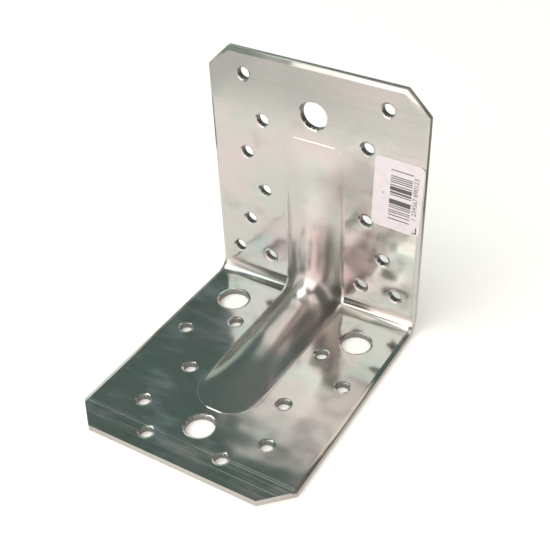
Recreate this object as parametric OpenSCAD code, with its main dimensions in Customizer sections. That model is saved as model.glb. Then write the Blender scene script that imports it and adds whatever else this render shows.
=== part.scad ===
// Reinforced angle bracket, pressed from one piece of bright zinc-coated sheet steel.
// The base leg lies on its underside and the upright leg stands along its back edge.
// A hollow stiffening rib runs through the bend and fades out on the upright leg.
// Millimetres. X runs across the bracket, +Y towards the upright leg, +Z up.
// The origin is the middle of the footprint, on the underside of the base leg.

/* [Sheet] */
// Width of both legs
plate_w = 90; // [86:1:110]
// Height of the upright leg, from the underside of the base leg
upright_h = 105; // [98:1:130]
// Length of the base leg, from the back of the upright leg
base_l = 105; // [102:1:130]
// Thickness of the sheet
sheet_t = 2.5; // [2:0.1:3.5]
// Inside radius of the bend
bend_r = 5; // [3:0.5:6]
// How far pressing the rib draws each side edge in at the bend
draw_in = 1; // [0:0.25:2]
// Corner cut at the top of the upright leg
upright_cut = 9; // [4:0.5:12]
// Corner cut at the front of the base leg
base_cut = 10; // [4:0.5:12]
// Width of the strip along the side and top edges that the shear rolled over
edge_roll_w = 1.6; // [0.8:0.1:2]
// Depth to which that strip falls at the edge
edge_roll_t = 0.6; // [0.2:0.05:0.7]
// Width of the rolled rim round every hole
hole_roll_w = 0.8; // [0.3:0.05:0.9]
// Depth of that rim
hole_roll_t = 0.25; // [0.1:0.05:0.4]

/* [Rib] */
// Width of the rib
rib_w = 26; // [22:0.5:28]
// Height of the crest over the legs, where the rib leaves the bend
rib_rise = 6; // [4:0.5:10]
// Distance from the back corner at which the crest turns from its ramp into the elbow
rib_turn = 36; // [32:1:40]
// Slope of the crest at that place on the base leg
base_ramp = 0.06; // [0:0.02:0.2]
// Slope of the crest at that place on the upright leg
upright_ramp = 0.02; // [0:0.02:0.2]
// Rounding of the crest at the elbow
elbow_round = 16; // [8:1:20]
// Slope with which the crest meets the base leg
base_run_out = 0.06; // [0.02:0.02:0.2]
// Slope with which the crest meets the upright leg
upright_run_out = 0.02; // [0:0.01:0.1]
// Plain sheet between the rib and the front bolt hole
rib_front_gap = 3; // [1:0.5:6]
// Plain sheet between the rib and the bolt hole in the upright leg
rib_top_gap = 5; // [0.5:0.5:6]

/* [Bolt holes] */
// Diameter of the bolt hole in the upright leg
upright_bolt_d = 11; // [9:0.5:13]
// Middle of that hole below the top edge
upright_bolt_drop = 19.5; // [16:0.5:24]
// Diameter of the bolt hole at the front of the base leg
front_bolt_d = 11; // [9:0.5:13]
// Middle of that hole behind the front edge
front_bolt_inset = 19; // [16:0.5:24]
// Diameter of the two bolt holes beside the rib
side_bolt_d = 12; // [9:0.5:13]
// Distance between the middles of the two bolt holes beside the rib
side_bolt_pitch = 56; // [54:0.5:60]
// Middle of those two holes in front of the back of the upright leg
side_bolt_back = 20.5; // [18:0.5:22]

/* [Nail holes] */
// Diameter of every nail hole
nail_d = 5; // [4:0.25:5.5]
// Height of the lowest nail row on the upright leg
nail_row_low = 15.5; // [13:0.5:18]
// Height between two nail rows on the upright leg
nail_row_pitch = 15.6; // [14:0.1:16]
// Top nail row below the top edge
nail_row_drop = 9.5; // [7:0.5:11]
// Sideways place of the nails in the inner column, from the middle
nail_inner_x = 22; // [20:0.5:24]
// Sideways place of the nails in the outer column, from the middle
nail_outer_x = 29.5; // [28:0.5:32]
// Sideways place of the inner nail of the lowest row, from the middle
foot_inner_x = 20.5; // [19.5:0.5:24]
// Sideways place of the outer nail of the lowest row, from the middle
foot_outer_x = 35.5; // [33:0.5:38]
// First nail pair of the base leg: sideways place
base_nail_1_x = 19.5; // [19:0.5:22]
// First nail pair: distance from the back
base_nail_1_y = 32.5; // [32:0.5:34]
// Second nail pair of the base leg: sideways place
base_nail_2_x = 35; // [32:0.5:38]
// Second nail pair: distance from the back
base_nail_2_y = 44.5; // [42:0.5:48]
// Third nail pair of the base leg: sideways place
base_nail_3_x = 20.5; // [19:0.5:24]
// Third nail pair: distance from the back
base_nail_3_y = 62.5; // [58:0.5:66]
// Fourth nail pair, beside the front bolt hole: sideways place
front_nail_outer_x = 25.5; // [20:0.5:30]
// Fourth nail pair: left nail behind the front edge
front_nail_outer_inset = 20; // [16:0.5:24]
// Fifth nail pair, near the front edge: sideways place
front_nail_inner_x = 15; // [12:0.5:18]
// Fifth nail pair: left nail behind the front edge
front_nail_inner_inset = 7.5; // [6:0.5:9]
// How much further from the front edge the two right front nails sit
front_nail_skew = 2.5; // [0:0.5:4]

/* [Paper label] */
// Width of the label
label_w = 19.5; // [12:0.5:20]
// Height of the label
label_h = 30; // [20:0.5:34]
// Thickness of the label
label_t = 0.2; // [0.1:0.05:0.4]
// Radius of the label's corners
label_r = 2; // [1:0.5:3]
// Plain sheet between the label and the side edge, at the label's middle
label_edge = 0.4; // [0.2:0.1:3]
// Middle of the label above the underside
label_z = 62; // [55:0.5:66]
// Turn of the label, clockwise as seen from the front
label_turn = 2; // [0:0.5:2]

/* [Hidden] */

// Fineness of the round holes and of the bend
$fn = 64;
// Overlap that carries a cut clear of a face
clear = 1;
// Depth inside the sheet at which the rib's own body ends
bury = sheet_t / 2;
// Half width of the sheet at the bend
waist_x = plate_w / 2 - draw_in;
// Steps across a rolled edge, and how much steeper it gets towards the edge
roll_steps = 3;
roll_power = 1.2;
// Length by which the cut for a rolled edge runs past a corner of the leg
roll_past = 16;
// Where the flat part of each leg starts, from the back corner
flat_start = sheet_t + bend_r;
// Far ends of the rib on the two legs, from the back corner
rib_front = base_l - front_bolt_inset - front_bolt_d / 2 - rib_front_gap;
rib_top = upright_h - upright_bolt_drop - upright_bolt_d / 2 - rib_top_gap;
// Half width of the rib outside, and of the hollow behind it
rib_x = rib_w / 2;
hollow_x = rib_x - 0.6 * sheet_t;
// Number of steps along each leg, round the elbow, and from the crest to the edge
leg_steps = 14;
elbow_steps = 18;
side_steps = 12;
// Share of the half width at which the edges of the rib dive into the sheet
skirt = 1.03;
// Share of the way to the lower side that they dive, and how far the two ends of the rib do
skirt_dip = 0.2;
end_dip = 0.3;
// Small step at the edge of the rib, which fades out up the upright leg
root_step = 0.1;
top_step = 0.04;
// Half the width of the rib at its tips
tip_half = 1;

// Soft minimum and maximum of two values, rounded over the distance k
function soft_min(a, b, k) = min(a, b) - pow(max(k - abs(a - b), 0), 2) / (4 * k);
function soft_max(a, b, k) = -soft_min(-a, -b, k);

// Cubic that runs from h0 with slope m0 to 0 with slope m1, as u goes from 0 to 1 over the length l
function run_down(u, l, h0, m0, m1) =
    h0 * (2 * pow(u, 3) - 3 * pow(u, 2) + 1)
    - m0 * l * (pow(u, 3) - 2 * pow(u, 2) + u)
    - m1 * l * (pow(u, 3) - pow(u, 2));

// Height of the rib's section, as a share of the crest, at the share s of the half width
function section(s) = soft_max(1 - pow(s / 0.94, 2.1), 0.05 * (1 - s), 0.08) * (1 - pow(s, 40));

// Distance from the rib's turning point to the sheet surface that lies e in front of its back,
// along the ray that leans a degrees from straight down towards the upright leg
function sheet_dist(a, e) =
    let (
        reach = rib_turn - e,
        to_base = reach / max(cos(a), 0.001),
        to_upright = reach / max(sin(a), 0.001),
        to_plane = min(to_base, to_upright),
        corner_r = flat_start - e,
        c = rib_turn - flat_start,
        along = c * (sin(a) + cos(a)),
        gap = pow(along, 2) - 2 * c * c + corner_r * corner_r,
        to_arc = along + sqrt(max(gap, 0)),
        on_flat = rib_turn - to_plane * min(sin(a), cos(a)) > flat_start
    )
    on_flat ? to_plane : to_arc;

// Distance from the turning point to the crest that rises over the surface at e
function crest_dist(a, e) =
    let (
        reach = rib_turn - e - rib_rise,
        to_base = reach / max(cos(a) + base_ramp * sin(a), 0.001),
        to_upright = reach / max(sin(a) + upright_ramp * cos(a), 0.001)
    )
    soft_min(to_base, to_upright, elbow_round);

// Point in the section plane, as [distance from the back, height], on the ray a at distance s
function ray_point(a, s) = [rib_turn - s * sin(a), rib_turn - s * cos(a)];

// Rings of the rib over the surface at e with half width hx and lower side at the surface under.
// Each ring holds [half width, foot point, crest point, lower point].
function base_ring(u, e, hx, under) =
    let (
        tip = rib_front + hx - rib_x,
        middle = tip - hx,
        w = rib_turn + (tip - rib_turn) * u,
        past = max(w - middle, 0),
        half = sqrt(max(hx * hx - past * past, tip_half * tip_half)),
        foot = e + (u < 1 ? root_step : -end_dip),
        rise = run_down(u, tip - rib_turn, rib_rise, base_ramp, base_run_out)
    )
    [half, [w, foot], [w, foot + rise], [w, under]];

function elbow_ring(a, e, hx, under) =
    [
        hx,
        ray_point(a, sheet_dist(a, e + root_step)),
        ray_point(a, crest_dist(a, e + root_step)),
        ray_point(a, sheet_dist(a, under))
    ];

function upright_ring(u, e, hx, under) =
    let (
        top = rib_top + hx - rib_x,
        w = rib_turn + (top - rib_turn) * u,
        corner = max(w - (top - hx / 2), 0) * 2,
        half = hx / 2 + sqrt(max(hx * hx - corner * corner, tip_half * tip_half)) / 2,
        foot = e + (u < 1 ? top_step + (root_step - top_step) * (1 - u) : -end_dip),
        rise = run_down(u, top - rib_turn, rib_rise, upright_ramp, upright_run_out)
    )
    [half, [foot, w], [foot + rise, w], [under, w]];

function rib_rings(e, hx, under) = [
    for (i = [leg_steps:-1:1]) base_ring(sin(90 * i / leg_steps), e, hx, under),
    for (i = [0:elbow_steps]) elbow_ring(90 * i / elbow_steps, e, hx, under),
    for (i = [1:leg_steps]) upright_ring(sin(90 * i / leg_steps), e, hx, under)
];

// Corner points of one ring: the section from left to right, then down and back along the lower side
function ring_points(r) =
    let (dive = r[1] + (r[3] - r[1]) * skirt_dip, x = skirt * r[0])
    [
        [-x, -dive[0], dive[1]],
        for (j = [-side_steps:side_steps])
            let (s = sin(90 * j / side_steps), p = r[1] + (r[2] - r[1]) * section(abs(s)))
            [s * r[0], -p[0], p[1]],
        [x, -dive[0], dive[1]],
        [x, -r[3][0], r[3][1]],
        [-x, -r[3][0], r[3][1]]
    ];

// Closed body swept through the rings
module rib_sweep(e, hx, under) {
    rings = rib_rings(e, hx, under);
    n = len(rings);
    m = 2 * side_steps + 5;
    points = [for (r = rings) each ring_points(r)];
    skin = [
        for (i = [0:n - 2], j = [0:m - 1])
            let (a = i * m + j, b = i * m + (j + 1) % m)
            each [[a, b + m, b], [a, a + m, b + m]]
    ];
    ends = [[for (j = [0:m - 1]) j], [for (j = [m - 1:-1:0]) (n - 1) * m + j]];
    polyhedron(points, concat(skin, ends), convexity = 6);
}

// Outline of what a rolled edge of width w and depth t lacks,
// as [distance in from the edge, depth below the punch side]
function roll_profile(w, t) = [
    [w, -clear],
    for (i = [0:roll_steps]) [w * (1 - i / roll_steps), t * pow(i / roll_steps, roll_power)],
    [-clear, t],
    [-clear, -clear]
];

// Cut for the rolled edge between two points of a leg's outline, measured along the way inward
module roll_cut(from, to, inward) {
    profile = roll_profile(edge_roll_w, edge_roll_t);
    n = len(profile);
    points = [for (end = [from, to], c = profile) [each (end + c[0] * inward), sheet_t - c[1]]];
    skin = [for (i = [0:n - 1]) let (k = (i + 1) % n) [n + k, n + i, i, k]];
    ends = [[for (i = [n - 1:-1:0]) i], [for (i = [n:2 * n - 1]) i]];
    faces = concat(skin, ends);
    right_handed = cross(to - from, inward) > 0;
    polyhedron(points, right_handed ? faces : [for (f = faces) [for (i = [len(f) - 1:-1:0]) f[i]]]);
}

// Cut for the rolled side edge of a leg, from the bend past the corner cut at the given place
module side_roll_cut(side, bend_w, corner_w) {
    from = [side * waist_x, bend_w];
    corner = [side * plate_w / 2, corner_w];
    roll_cut(from, corner + roll_past * (corner - from) / norm(corner - from), [-side, 0]);
}

module rolled_edges() {
    x = plate_w / 2;
    for (side = [-1, 1]) {
        side_roll_cut(side, -flat_start, base_cut - base_l);
        translate([0, -flat_start, flat_start])
            rotate([0, 90, 0])
                rotate_extrude(angle = 90)
                    polygon([
                        for (c = roll_profile(edge_roll_w, edge_roll_t))
                            [bend_r + c[1], side * (waist_x - c[0])]
                    ]);
        rotate([90, 0, 0]) {
            side_roll_cut(side, flat_start, upright_h - upright_cut);
            roll_cut(
                [side * (x + roll_past), upright_h - upright_cut - roll_past],
                [side * (x - upright_cut - roll_past), upright_h + roll_past],
                [-side, -1] / sqrt(2)
            );
        }
    }
    rotate([90, 0, 0])
        roll_cut([-x, upright_h], [x, upright_h], [0, -1]);
}

// Flat part of the base leg, with the two front corners cut
module base_leg() {
    x = plate_w / 2;
    linear_extrude(sheet_t)
        polygon([
            [-waist_x, -flat_start], [-x, base_cut - base_l], [base_cut - x, -base_l],
            [x - base_cut, -base_l], [x, base_cut - base_l], [waist_x, -flat_start]
        ]);
}

// Flat part of the upright leg, with the two top corners cut
module upright_leg() {
    x = plate_w / 2;
    rotate([90, 0, 0])
        linear_extrude(sheet_t)
            polygon([
                [-waist_x, flat_start], [-x, upright_h - upright_cut], [upright_cut - x, upright_h],
                [x - upright_cut, upright_h], [x, upright_h - upright_cut], [waist_x, flat_start]
            ]);
}

// Quarter round between the two legs
module bend() {
    intersection() {
        translate([0, -flat_start, flat_start])
            rotate([0, 90, 0])
                difference() {
                    cylinder(r = flat_start, h = 2 * waist_x, center = true);
                    cylinder(r = bend_r, h = 2 * waist_x + 2 * clear, center = true);
                }
        translate([-waist_x, -flat_start, 0])
            cube([2 * waist_x, flat_start, flat_start]);
    }
}

// Punched hole up through a sheet that lies on z = 0, with a rolled rim on the punch side
module punched_hole(d) {
    translate([0, 0, -clear])
        cylinder(d = d, h = sheet_t + 2 * clear);
    rotate_extrude()
        polygon([for (c = roll_profile(hole_roll_w, hole_roll_t)) [d / 2 + c[0], sheet_t - c[1]]]);
}

// Hole through the base leg at x, and y in front of the back of the upright leg
module base_hole(x, y, d) {
    translate([x, -y, 0])
        punched_hole(d);
}

// Hole through the upright leg at x and height z
module upright_hole(x, z, d) {
    translate([x, 0, z])
        rotate([90, 0, 0])
            punched_hole(d);
}

module upright_holes() {
    upright_hole(0, upright_h - upright_bolt_drop, upright_bolt_d);
    for (side = [-1, 1]) {
        upright_hole(side * foot_inner_x, nail_row_low, nail_d);
        upright_hole(side * foot_outer_x, nail_row_low, nail_d);
        for (row = [1:4])
            upright_hole(
                side * (row % 2 == 1 ? nail_outer_x : nail_inner_x),
                nail_row_low + row * nail_row_pitch,
                nail_d
            );
        upright_hole(side * nail_outer_x, upright_h - nail_row_drop, nail_d);
    }
}

module base_holes() {
    base_hole(0, base_l - front_bolt_inset, front_bolt_d);
    for (side = [-1, 1]) {
        skew = side > 0 ? front_nail_skew : 0;
        base_hole(side * side_bolt_pitch / 2, side_bolt_back, side_bolt_d);
        base_hole(side * base_nail_1_x, base_nail_1_y, nail_d);
        base_hole(side * base_nail_2_x, base_nail_2_y, nail_d);
        base_hole(side * base_nail_3_x, base_nail_3_y, nail_d);
        base_hole(side * front_nail_outer_x, base_l - front_nail_outer_inset - skew, nail_d);
        base_hole(side * front_nail_inner_x, base_l - front_nail_inner_inset - skew, nail_d);
    }
}

// The whole pressed sheet: two legs, the bend, the hollow rib, every hole and the rolled edges
module bracket() {
    color("silver")
        translate([0, base_l / 2, 0])
            difference() {
                union() {
                    base_leg();
                    bend();
                    upright_leg();
                    rib_sweep(sheet_t, rib_x, bury);
                }
                rib_sweep(0, hollow_x, -clear);
                rolled_edges();
                upright_holes();
                base_holes();
            }
}

// Rounded rectangle of the paper label
module label_outline() {
    square([label_w - 2 * label_r, label_h], center = true);
    square([label_w, label_h - 2 * label_r], center = true);
    for (sx = [-1, 1], sz = [-1, 1])
        translate([sx * (label_w / 2 - label_r), sz * (label_h / 2 - label_r)])
            circle(r = label_r);
}

// Adhesive paper label on the right half of the upright leg
module label() {
    edge_x = waist_x + draw_in * (label_z - flat_start) / (upright_h - upright_cut - flat_start);
    color("white")
        translate([edge_x - label_edge - label_w / 2, base_l / 2 - sheet_t, label_z])
            rotate([90, label_turn, 0])
                linear_extrude(label_t)
                    label_outline();
}

bracket();
label();
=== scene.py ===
import math

import bpy
from mathutils import Matrix, Vector


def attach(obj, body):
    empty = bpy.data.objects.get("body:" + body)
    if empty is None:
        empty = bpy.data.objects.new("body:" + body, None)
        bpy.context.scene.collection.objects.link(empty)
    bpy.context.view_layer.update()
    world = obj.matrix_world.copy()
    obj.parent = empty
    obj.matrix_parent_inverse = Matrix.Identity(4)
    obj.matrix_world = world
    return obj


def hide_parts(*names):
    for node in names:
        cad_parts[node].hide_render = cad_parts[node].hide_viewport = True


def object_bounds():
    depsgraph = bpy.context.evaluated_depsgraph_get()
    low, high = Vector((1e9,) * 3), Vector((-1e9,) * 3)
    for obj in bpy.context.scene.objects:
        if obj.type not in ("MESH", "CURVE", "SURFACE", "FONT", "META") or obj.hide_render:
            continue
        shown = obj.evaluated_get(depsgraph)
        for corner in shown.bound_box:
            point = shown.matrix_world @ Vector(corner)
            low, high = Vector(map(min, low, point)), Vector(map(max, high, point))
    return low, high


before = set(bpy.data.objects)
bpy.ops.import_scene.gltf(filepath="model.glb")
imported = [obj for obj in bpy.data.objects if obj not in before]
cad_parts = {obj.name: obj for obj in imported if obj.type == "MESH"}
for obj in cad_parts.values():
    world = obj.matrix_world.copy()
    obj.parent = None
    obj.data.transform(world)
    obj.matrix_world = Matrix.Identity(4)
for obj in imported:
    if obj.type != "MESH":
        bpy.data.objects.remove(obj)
cad_low, cad_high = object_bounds()


# Camera
# It looks down on the bracket from the front right, with both legs and the rib in view.
# A small shift keeps the bracket where the photograph's frame has it.
camera_place = Vector((0.16018, -0.23120, 0.26728))
camera_turn = math.radians(30.74)
camera_tilt = math.radians(37.76)
camera_roll = math.radians(-1.21)
camera_lens = 66.77
camera_sensor = 36
camera_shift = (-0.0455, -0.0127)
camera_nearest = 0.01

camera_data = bpy.data.cameras.new("camera")
camera_data.lens = camera_lens
camera_data.sensor_width = camera_sensor
camera_data.shift_x, camera_data.shift_y = camera_shift
camera_data.clip_start = camera_nearest
camera = bpy.data.objects.new("camera", camera_data)
bpy.context.scene.collection.objects.link(camera)
camera_facing = (
    Matrix.Rotation(camera_turn, 4, "Z")
    @ Matrix.Rotation(math.pi / 2 - camera_tilt, 4, "X")
    @ Matrix.Rotation(camera_roll, 4, "Z")
)
camera.matrix_world = Matrix.Translation(camera_place) @ camera_facing
bpy.context.scene.camera = camera


# Studio
# A white table under a large soft light, in a dim and slightly green room with three soft panels.
# Two dark cards stand beside the bracket. The bright metal mirrors room, panels and cards.
class Wire:
    """A socket of a finish, on which ordinary sums add the Math nodes."""

    def __init__(self, finish, socket):
        self.finish = finish
        self.socket = socket

    def sum(self, operation, *values):
        return self.finish.add("Math", {"operation": operation}, dict(enumerate((self, *values))))

    def __add__(self, other):
        return self.sum("ADD", other)

    def __radd__(self, other):
        return self.sum("ADD", other)

    def __sub__(self, other):
        return self.sum("SUBTRACT", other)

    def __rsub__(self, other):
        return self.finish.add("Math", {"operation": "SUBTRACT"}, {0: other, 1: self})

    def __mul__(self, other):
        return self.sum("MULTIPLY", other)

    def __rmul__(self, other):
        return self.sum("MULTIPLY", other)

    def __truediv__(self, other):
        return self.sum("DIVIDE", other)

    def __pow__(self, other):
        return self.sum("POWER", other)

    def __abs__(self):
        return self.sum("ABSOLUTE")

    def __lt__(self, other):
        return self.sum("LESS_THAN", other)

    def __gt__(self, other):
        return self.sum("GREATER_THAN", other)

    def least(self, other):
        return self.sum("MINIMUM", other)

    def most(self, other):
        return self.sum("MAXIMUM", other)

    def ramp(self, low, high, first=0.0, last=1.0):
        """Runs smoothly from first to last while this value runs from low to high."""
        return self.finish.add(
            "MapRange",
            {"interpolation_type": "SMOOTHSTEP"},
            {"Value": self, "From Min": low, "From Max": high, "To Min": first, "To Max": last},
        )


class Finish:
    """The nodes of a material or of the room, and one way to add another."""

    def __init__(self, owner):
        owner.use_nodes = True
        self.material = owner
        self.nodes = owner.node_tree.nodes
        self.links = owner.node_tree.links
        self.surface = self.nodes.get("Principled BSDF") or self.nodes.get("Background")

    def add(self, kind, settings=None, inputs=None, output=0):
        node = self.nodes.new("ShaderNode" + kind)
        for name, value in (settings or {}).items():
            setattr(node, name, value)
        self.feed(node, inputs or {})
        return Wire(self, node.outputs[output])

    def feed(self, node, inputs):
        for name, value in inputs.items():
            if isinstance(value, Wire):
                self.links.new(value.socket, node.inputs[name])
            else:
                node.inputs[name].default_value = value

    def place(self, turn=(0, 0, 0), scale=(1, 1, 1), shift=(0, 0, 0)):
        """The point on the object in metres, turned, stretched and shifted as asked."""
        point = self.add("TexCoord", output="Object")
        return self.add("Mapping", {}, {"Vector": point, "Rotation": turn, "Scale": scale, "Location": shift})

    def axes(self, point):
        node = self.nodes.new("ShaderNodeSeparateXYZ")
        self.links.new(point.socket, node.inputs[0])
        return [Wire(self, node.outputs[i]) for i in range(3)]

    def noise(self, point, scale, detail=2.0, roughness=0.5):
        inputs = {"Vector": point, "Scale": scale, "Detail": detail, "Roughness": roughness}
        return self.add("TexNoise", {}, inputs)

    def mix(self, share, first, second):
        node = self.nodes.new("ShaderNodeMix")
        node.data_type = "RGBA"
        self.feed(node, {0: share, 6: first, 7: second})
        return Wire(self, node.outputs[2])

    def bump(self, height, depth, under=None):
        """The normal of a surface that rises by depth in metres where height goes from 0 to 1."""
        inputs = {"Height": height, "Distance": depth}
        if under:
            inputs["Normal"] = under
        return self.add("Bump", {}, inputs, output="Normal")

    def surface_is(self, **inputs):
        self.feed(self.surface, {name.replace("_", " "): value for name, value in inputs.items()})


def clear_selection():
    bpy.ops.object.select_all(action="DESELECT")


table_size = 6.0
table_colour = (0.88, 0.85, 0.83, 1)
room_glow = (0.64, 0.76, 0.66, 1)
room_dusk = (0.15, 0.13, 0.11, 1)
room_wall = (0.14, 0.205, 0.185, 1)
room_ceiling = (0.95, 0.93, 0.86, 1)
glow_to_dusk = (-0.2, 0.2)
low_to_wall = (0.34, 0.50)
wall_to_ceiling = (0.74, 0.95)
ceiling_front_to_back = (-0.15, 0.15)
ceiling_back_share = 0.06

clear_selection()
bpy.ops.mesh.primitive_plane_add(size=table_size, location=(0, 0, 0))
table = bpy.context.object
table.name = "table"
table_finish = Finish(bpy.data.materials.new("table_white"))
table_finish.surface_is(Base_Color=table_colour, Roughness=0.6)
table.data.materials.append(table_finish.material)

room = Finish(bpy.data.worlds.new("room"))
room_x, room_y, room_height = room.axes(room.add("TexCoord", output="Generated"))
room_low = room.mix(room_x.ramp(*glow_to_dusk), room_glow, room_dusk)
room_sides = room.mix(room_height.ramp(*low_to_wall), room_low, room_wall)
ceiling_share = room_y.ramp(*ceiling_front_to_back, 1.0, ceiling_back_share)
overhead = room_height.ramp(*wall_to_ceiling) * ceiling_share
room.surface_is(Color=room.mix(overhead, room_sides, room_ceiling))
bpy.context.scene.world = room.material


def mirrored_card(name, place, height, width, grey):
    """A dark upright card beside the bracket that only the metal shows."""
    clear_selection()
    upright = (0, math.pi / 2, 0)
    bpy.ops.mesh.primitive_plane_add(size=1, location=(*place, height / 2), rotation=upright)
    card = bpy.context.object
    card.name = name
    card.scale = (height, width, 1)
    bpy.ops.object.transform_apply(location=True, rotation=True, scale=True)
    card_finish = Finish(bpy.data.materials.new(name))
    card_finish.surface_is(Base_Color=grey, Roughness=0.8)
    card.data.materials.append(card_finish.material)
    card.visible_camera = False
    card.visible_diffuse = False
    card.visible_shadow = False


mirrored_card("card_right", (0.145, 0.08), height=0.065, width=0.44, grey=(0.13, 0.12, 0.11, 1))
mirrored_card("card_left", (-0.160, 0.16), height=0.040, width=0.30, grey=(0.24, 0.25, 0.22, 1))


def soft_light(name, place, size, power, colour, aim=(0, 0, 0.05), mirrored=True):
    """A rectangular light that faces aim. The metal shows it unless mirrored is off."""
    lamp = bpy.data.lights.new(name, "AREA")
    lamp.shape = "RECTANGLE"
    lamp.size, lamp.size_y = size
    lamp.energy = power
    lamp.color = colour
    holder = bpy.data.objects.new(name, lamp)
    bpy.context.scene.collection.objects.link(holder)
    direction = Vector(aim) - Vector(place)
    facing = direction.to_track_quat("-Z", "Y").to_matrix().to_4x4()
    holder.matrix_world = Matrix.Translation(place) @ facing
    holder.visible_camera = False
    holder.visible_glossy = mirrored


soft_light("front_low", (0.0, -1.13, 0.41), size=(1.50, 0.80), power=8.8, colour=(1.0, 0.90, 0.86))
soft_light("front_left", (-0.62, -0.50, 1.05), size=(1.25, 0.90), power=8.4, colour=(0.90, 1.0, 0.95))
soft_light("high_right", (0.76, -0.13, 0.92), size=(0.90, 0.66), power=2.0, colour=(1.0, 0.90, 0.78))
soft_light(
    "table_light",
    (0, 0, 1.2),
    size=(3.2, 3.2),
    power=26,
    colour=(1.0, 0.985, 0.985),
    aim=(0, 0, 0),
    mirrored=False,
)

bpy.context.scene.view_settings.view_transform = "Standard"


# Pressed sheet
# One piece of bright zinc-coated steel, cut, pierced, bent and pressed into a rib.
# The punch side of every edge and hole is rolled over a little. The flat faces of both legs get
# sharp borders, so that they mirror as flat sheet.
sheet_thick = 0.0025
merge_gap = 0.000002
flat_tolerance = 0.000004
flat_facing = 0.99999
crease_angle = math.radians(32)

clear_selection()
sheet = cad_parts["bracket"].copy()
sheet.data = sheet.data.copy()
sheet.name = "pressed_sheet"
sheet.parent = None
bpy.context.scene.collection.objects.link(sheet)
sheet.select_set(True)
bpy.context.view_layer.objects.active = sheet
bpy.ops.object.mode_set(mode="EDIT")
bpy.ops.mesh.select_all(action="SELECT")
bpy.ops.mesh.remove_doubles(threshold=merge_gap)
bpy.ops.mesh.select_mode(type="FACE")
bpy.ops.object.mode_set(mode="OBJECT")
leg_levels = {1: (cad_high.y, cad_high.y - sheet_thick), 2: (cad_low.z, cad_low.z + sheet_thick)}
for face in sheet.data.polygons:
    face.select = False
    for axis, levels in leg_levels.items():
        off = min(abs(face.center[axis] - level) for level in levels)
        face.select |= abs(face.normal[axis]) > flat_facing and off < flat_tolerance
bpy.ops.object.mode_set(mode="EDIT")
bpy.ops.mesh.region_to_loop()
bpy.ops.mesh.mark_sharp()
bpy.ops.object.mode_set(mode="OBJECT")
bpy.ops.object.shade_smooth_by_angle(angle=crease_angle, keep_sharp_edges=True)

# Zinc coat
# A bright thin coat on rolled sheet, which mirrors its surroundings through faint clouds.
# It is rougher on the rib and at the bend, streaked along the rolling, and swells a little. Painted shade
# darkens its colour towards the top of the upright leg, most at the left. Each patch of painted dark
# reflection has a place across and up, a reach and a depth.
zinc_warm = (0.58, 0.505, 0.50, 1)
zinc_cool = (0.50, 0.50, 0.475, 1)
# Dull zinc: the colour of the rolling streaks, and also of the painted shade and painted dark reflections.
zinc_dull_and_shade = (0.31, 0.30, 0.29, 1)
zinc_blue = (0.36, 0.46, 0.51, 1)
zinc_roughness = 0.13
rib_tip_roughness = 0.175
roughest = 0.265
streak_dulling = 0.14
bend_dulling = 0.10
rib_half = 0.0130
rib_front_centre = -0.0120
rib_dull_from = 0.0200
rib_top = 0.0750
rib_edge_blur = 0.0008
bend_along = 0.0450
bend_height = 0.0075
bend_blur = 0.0025
base_level = 0.004
top_shade_up = (0.074, 0.096)
top_shade_across = (-0.010, 0.035)
top_streaks_up = (0.070, 0.098)
top_calm_up = (0.075, 0.100)
# Patches of painted dark reflection: one at the top left corner, one left of the label.
painted_dark_patches = ((-0.045, 0.105, 0.032, 0.90), (0.0220, 0.0600, 0.024, 0.65))
blue_across = (-0.02, 0.01)
front_band = -0.0425
front_band_blur = 0.001
press_lines = ((0.0000, 0.8), (0.0009, 0.5), (-0.0046, 0.7))
press_line_half = 0.00012
press_line_skew = 0.004
cloud_scale = 38.0
stain_scale = 75.0
smoke_scale = 60.0
smoke_turn = (0, 0, 0.5)
smoke_stretch = (1.0, 2.6, 1.0)
streak_scale_across = 14.0
streak_scale_along = 900.0
streak_darkening = 0.45
smoke_haze = 0.12
streak_haze = 0.14
line_haze = 0.3
swell_scale = 46.0
ripple_scale = 130.0
ripple_share = 0.16
swell_depth = 0.0012
score_depth = 0.00006

zinc = Finish(bpy.data.materials.new("zinc"))
point = zinc.place()
across, along, height = zinc.axes(point)
past_front = (rib_front_centre - along).most(0.0)
past_side = (abs(across) - rib_half / 2).most(0.0)
past_top = (height - rib_top + rib_half / 2).most(0.0)
front_reach = (across ** 2.0 + past_front ** 2.0) ** 0.5
top_reach = (past_side ** 2.0 + past_top ** 2.0) ** 0.5
on_rib = front_reach.ramp(rib_half - rib_edge_blur, rib_half, 1.0, 0.0)
on_rib = on_rib * top_reach.ramp(rib_half / 2 - rib_edge_blur, rib_half / 2, 1.0, 0.0)
off_rib = 1.0 - on_rib
on_base = height < base_level
on_bend = along.ramp(bend_along - bend_blur, bend_along)
on_bend = on_bend * height.ramp(bend_height, bend_height + bend_blur, 1.0, 0.0)

cloud = zinc.noise(point, cloud_scale, detail=4.0, roughness=0.6)
stain = zinc.noise(zinc.place(shift=(0.3, 0.1, 0.7)), stain_scale, detail=3.0, roughness=0.55)
smoke_place = zinc.place(turn=smoke_turn, scale=smoke_stretch)
smoke = zinc.noise(smoke_place, smoke_scale, detail=4.0, roughness=0.6)
streak_x = across * streak_scale_across
streak_y = (along - height) * streak_scale_along
roll_way = zinc.add("CombineXYZ", {}, {"X": streak_x, "Y": streak_y})
streak = zinc.noise(roll_way, 1.0, detail=3.0, roughness=0.6)
front_streaks = along.ramp(front_band - front_band_blur, front_band + front_band_blur, 1.0, 0.10)
streak_zone = front_streaks + height.ramp(*top_streaks_up, 0.0, 0.4)

# Painted shade: the colour darkens towards the top of the upright leg, more at the left than at the right.
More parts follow.
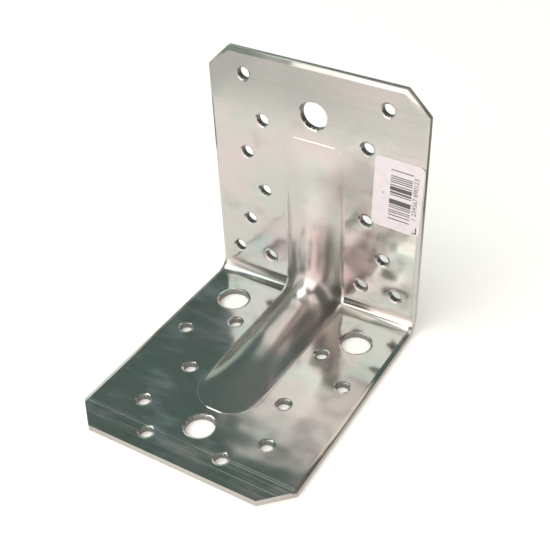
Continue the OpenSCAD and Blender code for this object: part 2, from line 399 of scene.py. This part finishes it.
top_shade = height.ramp(*top_shade_up) * across.ramp(*top_shade_across, 0.72, 0.28)
# Random real stains, joined with the painted shade above and the patches of painted dark reflection below.
tarnish_and_painted_shade = stain.ramp(0.54, 0.72, 0.0, 0.4).most(top_shade)
# Each patch of painted dark reflection darkens the colour round its place.
for cloud_x, cloud_z, reach, depth in painted_dark_patches:
    distance = abs(across - cloud_x) * 0.55 + abs(height - cloud_z) * 0.8 + cloud * 0.012
    tarnish_and_painted_shade = tarnish_and_painted_shade.most(distance.ramp(reach * 0.5, reach, depth, 0.0))
press_line = 0.0
for offset, depth in press_lines:
    off_line = abs(along + across * press_line_skew - front_band - offset)
    line = off_line.ramp(0.0, press_line_half, depth, 0.0) * on_base
    press_line = line.most(press_line)
haze = smoke.ramp(0.45, 0.75, 0.0, smoke_haze) * off_rib
haze = haze + streak.ramp(0.45, 0.85, 0.0, streak_haze) * streak_zone + press_line * line_haze

body_colour = zinc.mix(cloud.ramp(0.38, 0.62), zinc_cool, zinc_warm)
body_colour = zinc.mix(tarnish_and_painted_shade, body_colour, zinc_dull_and_shade)
streak_share = streak.ramp(0.35, 0.75) * streak_zone * streak_darkening
body_colour = zinc.mix(streak_share, body_colour, zinc_dull_and_shade)
blue_share = smoke.ramp(0.45, 0.70, 0.0, 0.5) * across.ramp(*blue_across, 1.0, 0.0) * off_rib * on_base
body_colour = zinc.mix(blue_share, body_colour, zinc_blue)
dulling = streak.ramp(0.45, 0.7, 0.0, streak_dulling) * streak_zone + on_bend * bend_dulling
flat_roughness = (cloud.ramp(0.35, 0.65, -0.03, 0.05) + zinc_roughness + dulling).least(roughest)
rib_roughness = along.ramp(rib_front_centre, rib_dull_from, rib_tip_roughness, roughest)
rib_roughness = rib_roughness - cloud.ramp(0.35, 0.65, 0.0, 0.015)
roughness = flat_roughness * off_rib + rib_roughness * on_rib

swell = zinc.noise(zinc.place(shift=(0.02, 0.05, 0.01)), swell_scale, detail=0.0)
ripple = zinc.noise(point, ripple_scale, detail=0.0)
relief = (swell - 0.5 + ripple * ripple_share) * height.ramp(*top_calm_up, 1.0, 0.6)
scored = streak * streak_zone * 0.05 + press_line * 0.4
coat = zinc.bump(scored, score_depth, under=zinc.bump(relief, swell_depth))
zinc.surface_is(Base_Color=body_colour, Metallic=1.0 - haze, Roughness=roughness, Normal=coat)

# Cut edges
# The shear and the punches leave bare torn steel, grey and a little rough, with fine pits.
# The walls of the punched holes are painted darker than the sides of the sheet, as painted shade inside the
# holes.
cut_colour = (0.62, 0.57, 0.55, 1)
cut_shade = (0.40, 0.38, 0.36, 1)
# Painted shade: darker steel for the walls of the holes.
shaded_pierced_light = (0.34, 0.32, 0.31, 1)
shaded_pierced_dark = (0.17, 0.17, 0.165, 1)
pit_scale = 880.0
pit_depth = 0.00005
upright_cut = 0.009
base_cut = 0.010
outline_margin = 0.0028
bend_end_x = 0.0430
wall_facing = 0.05
end_facing = 0.99


def sheared(name, light, dark):
    """Torn steel with fine pits, from light to dark."""
    steel = Finish(bpy.data.materials.new(name))
    tear = steel.noise(steel.place(), pit_scale, detail=4.0, roughness=0.7)
    steel.surface_is(
        Base_Color=steel.mix(tear, dark, light),
        Metallic=1.0,
        Roughness=tear.ramp(0.3, 0.7, 0.34, 0.5),
        Normal=steel.bump(tear, pit_depth),
    )
    return steel.material


sheet.data.materials.clear()
sheet.data.materials.append(zinc.material)
sheet.data.materials.append(sheared("cut_edge", cut_colour, cut_shade))
sheet.data.materials.append(sheared("shaded_hole_wall", shaded_pierced_light, shaded_pierced_dark))
cut_edge, shaded_hole_wall = 1, 2
for face in sheet.data.polygons:
    spot, facing = face.center, face.normal
    from_side = cad_high.x - abs(spot.x)
    from_front = spot.y - cad_low.y
    from_top = cad_high.z - spot.z
    base_wall = abs(facing.z) < wall_facing and spot.z < sheet_thick
    upright_wall = abs(facing.y) < wall_facing and spot.y > cad_high.y - sheet_thick
    bend_end = abs(facing.x) > end_facing and abs(spot.x) > bend_end_x
    if base_wall:
        from_outline = min(from_side, from_front, (from_side + from_front - base_cut) / math.sqrt(2))
    elif upright_wall:
        from_outline = min(from_side, from_top, (from_side + from_top - upright_cut) / math.sqrt(2))
    else:
        from_outline = 0.0
    # Hole walls get the steel with painted shade.
    if from_outline > outline_margin:
        face.material_index = shaded_hole_wall
    elif base_wall or upright_wall or bend_end:
        face.material_index = cut_edge
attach(sheet, "root")
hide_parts("bracket")


# Paper label
# A white adhesive label, stuck a little crooked on the upright leg over one nail hole.
# It has a column of dark bars, a column of plain digits, a dot and a corner mark in black print.
label_centre = (0.03435, 0.0620)
label_turn = math.radians(2)
label_front = 0.0498
bar_sides = (-0.0030, 0.0056)
bar_ends = (-0.0108, 0.0126)
bar_step = 0.00042
bar_gaps_along = (-0.011, 0.013)
bar_gaps_share = (0.42, 0.60)
mark_corner = (0.0087, -0.0140)
mark_stroke = 0.0005
mark_height = 0.0030
mark_width = 0.0017
dot_side = -0.0055
dot_radius = 0.00035
dot_strength = 0.7
ink_cover = 0.92
ink_gloss = 0.25
paper_roughness = 0.6
paper_bump_depth = 0.0004
paper_white = (0.64, 0.575, 0.605, 1)
paper_grey = (0.585, 0.53, 0.555, 1)
ink_black = (0.03, 0.03, 0.035, 1)
ink_worn = (0.20, 0.19, 0.20, 1)
digits_size = 0.0026
digits_thick = 0.00002
digits_side = 0.0072
digits_rise = 0.0006
digits_sink = 0.00001

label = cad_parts["label"]
paper = Finish(bpy.data.materials.new("label_paper"))
sideways, _, upwards = paper.axes(paper.place())
sideways = sideways - label_centre[0]
upwards = upwards - label_centre[1]
right = sideways * math.cos(label_turn) - upwards * math.sin(label_turn)
above = upwards * math.cos(label_turn) + sideways * math.sin(label_turn)


def between(value, low, high):
    return (value > low) * (value < high)


bar_row = (above / bar_step).sum("FLOOR")
bar_chance = paper.add("TexWhiteNoise", {"noise_dimensions": "1D"}, {"W": bar_row}, output="Value")
bars = bar_chance > above.ramp(*bar_gaps_along, *bar_gaps_share)
bars = bars * between(right, *bar_sides) * between(above, *bar_ends)
mark_side, mark_foot = mark_corner
stem = between(right, mark_side - mark_stroke, mark_side) * between(above, mark_foot, mark_foot + mark_height)
foot = between(right, mark_side - mark_width, mark_side) * between(above, mark_foot, mark_foot + mark_stroke)
dot = ((right - dot_side) ** 2.0 + above ** 2.0) < dot_radius ** 2
ink = bars.most(stem).most(foot).most(dot * dot_strength)
fibre = paper.noise(paper.place(), 260.0, detail=4.0, roughness=0.6)
crease = paper.noise(paper.place(), 60.0)
blank = paper.mix(fibre.ramp(0.35, 0.7), paper_white, paper_grey)
paper.surface_is(
    Base_Color=paper.mix(ink * ink_cover, blank, ink_black),
    Roughness=paper_roughness - ink * ink_gloss,
    Normal=paper.bump(crease + fibre * 0.05, paper_bump_depth),
)
label.data.materials.clear()
label.data.materials.append(paper.material)

digits_curve = bpy.data.curves.new("label_digits", "FONT")
digits_curve.body = "1 234567 890123"
digits_curve.size = digits_size
digits_curve.extrude = digits_thick
digits_curve.align_x, digits_curve.align_y = "CENTER", "CENTER"
digits = bpy.data.objects.new("label_digits", digits_curve)
bpy.context.scene.collection.objects.link(digits)
digits_place = Vector(
    (label_centre[0] + digits_side, label_front - digits_sink, label_centre[1] + digits_rise)
)
digits.matrix_world = (
    Matrix.Translation(digits_place)
    @ Matrix.Rotation(math.pi / 2, 4, "X")
    @ Matrix.Rotation(math.pi / 2 - label_turn, 4, "Z")
)
clear_selection()
digits.select_set(True)
bpy.context.view_layer.objects.active = digits
bpy.ops.object.convert(target="MESH")
digits = bpy.context.object
bpy.ops.object.transform_apply(location=True, rotation=True, scale=True)
digit_ink = Finish(bpy.data.materials.new("digit_ink"))
fade = digit_ink.noise(digit_ink.place(), 900.0)
digit_ink.surface_is(Base_Color=digit_ink.mix(fade, ink_black, ink_worn), Roughness=0.5)
digits.data.materials.clear()
digits.data.materials.append(digit_ink.material)
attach(digits, "root")
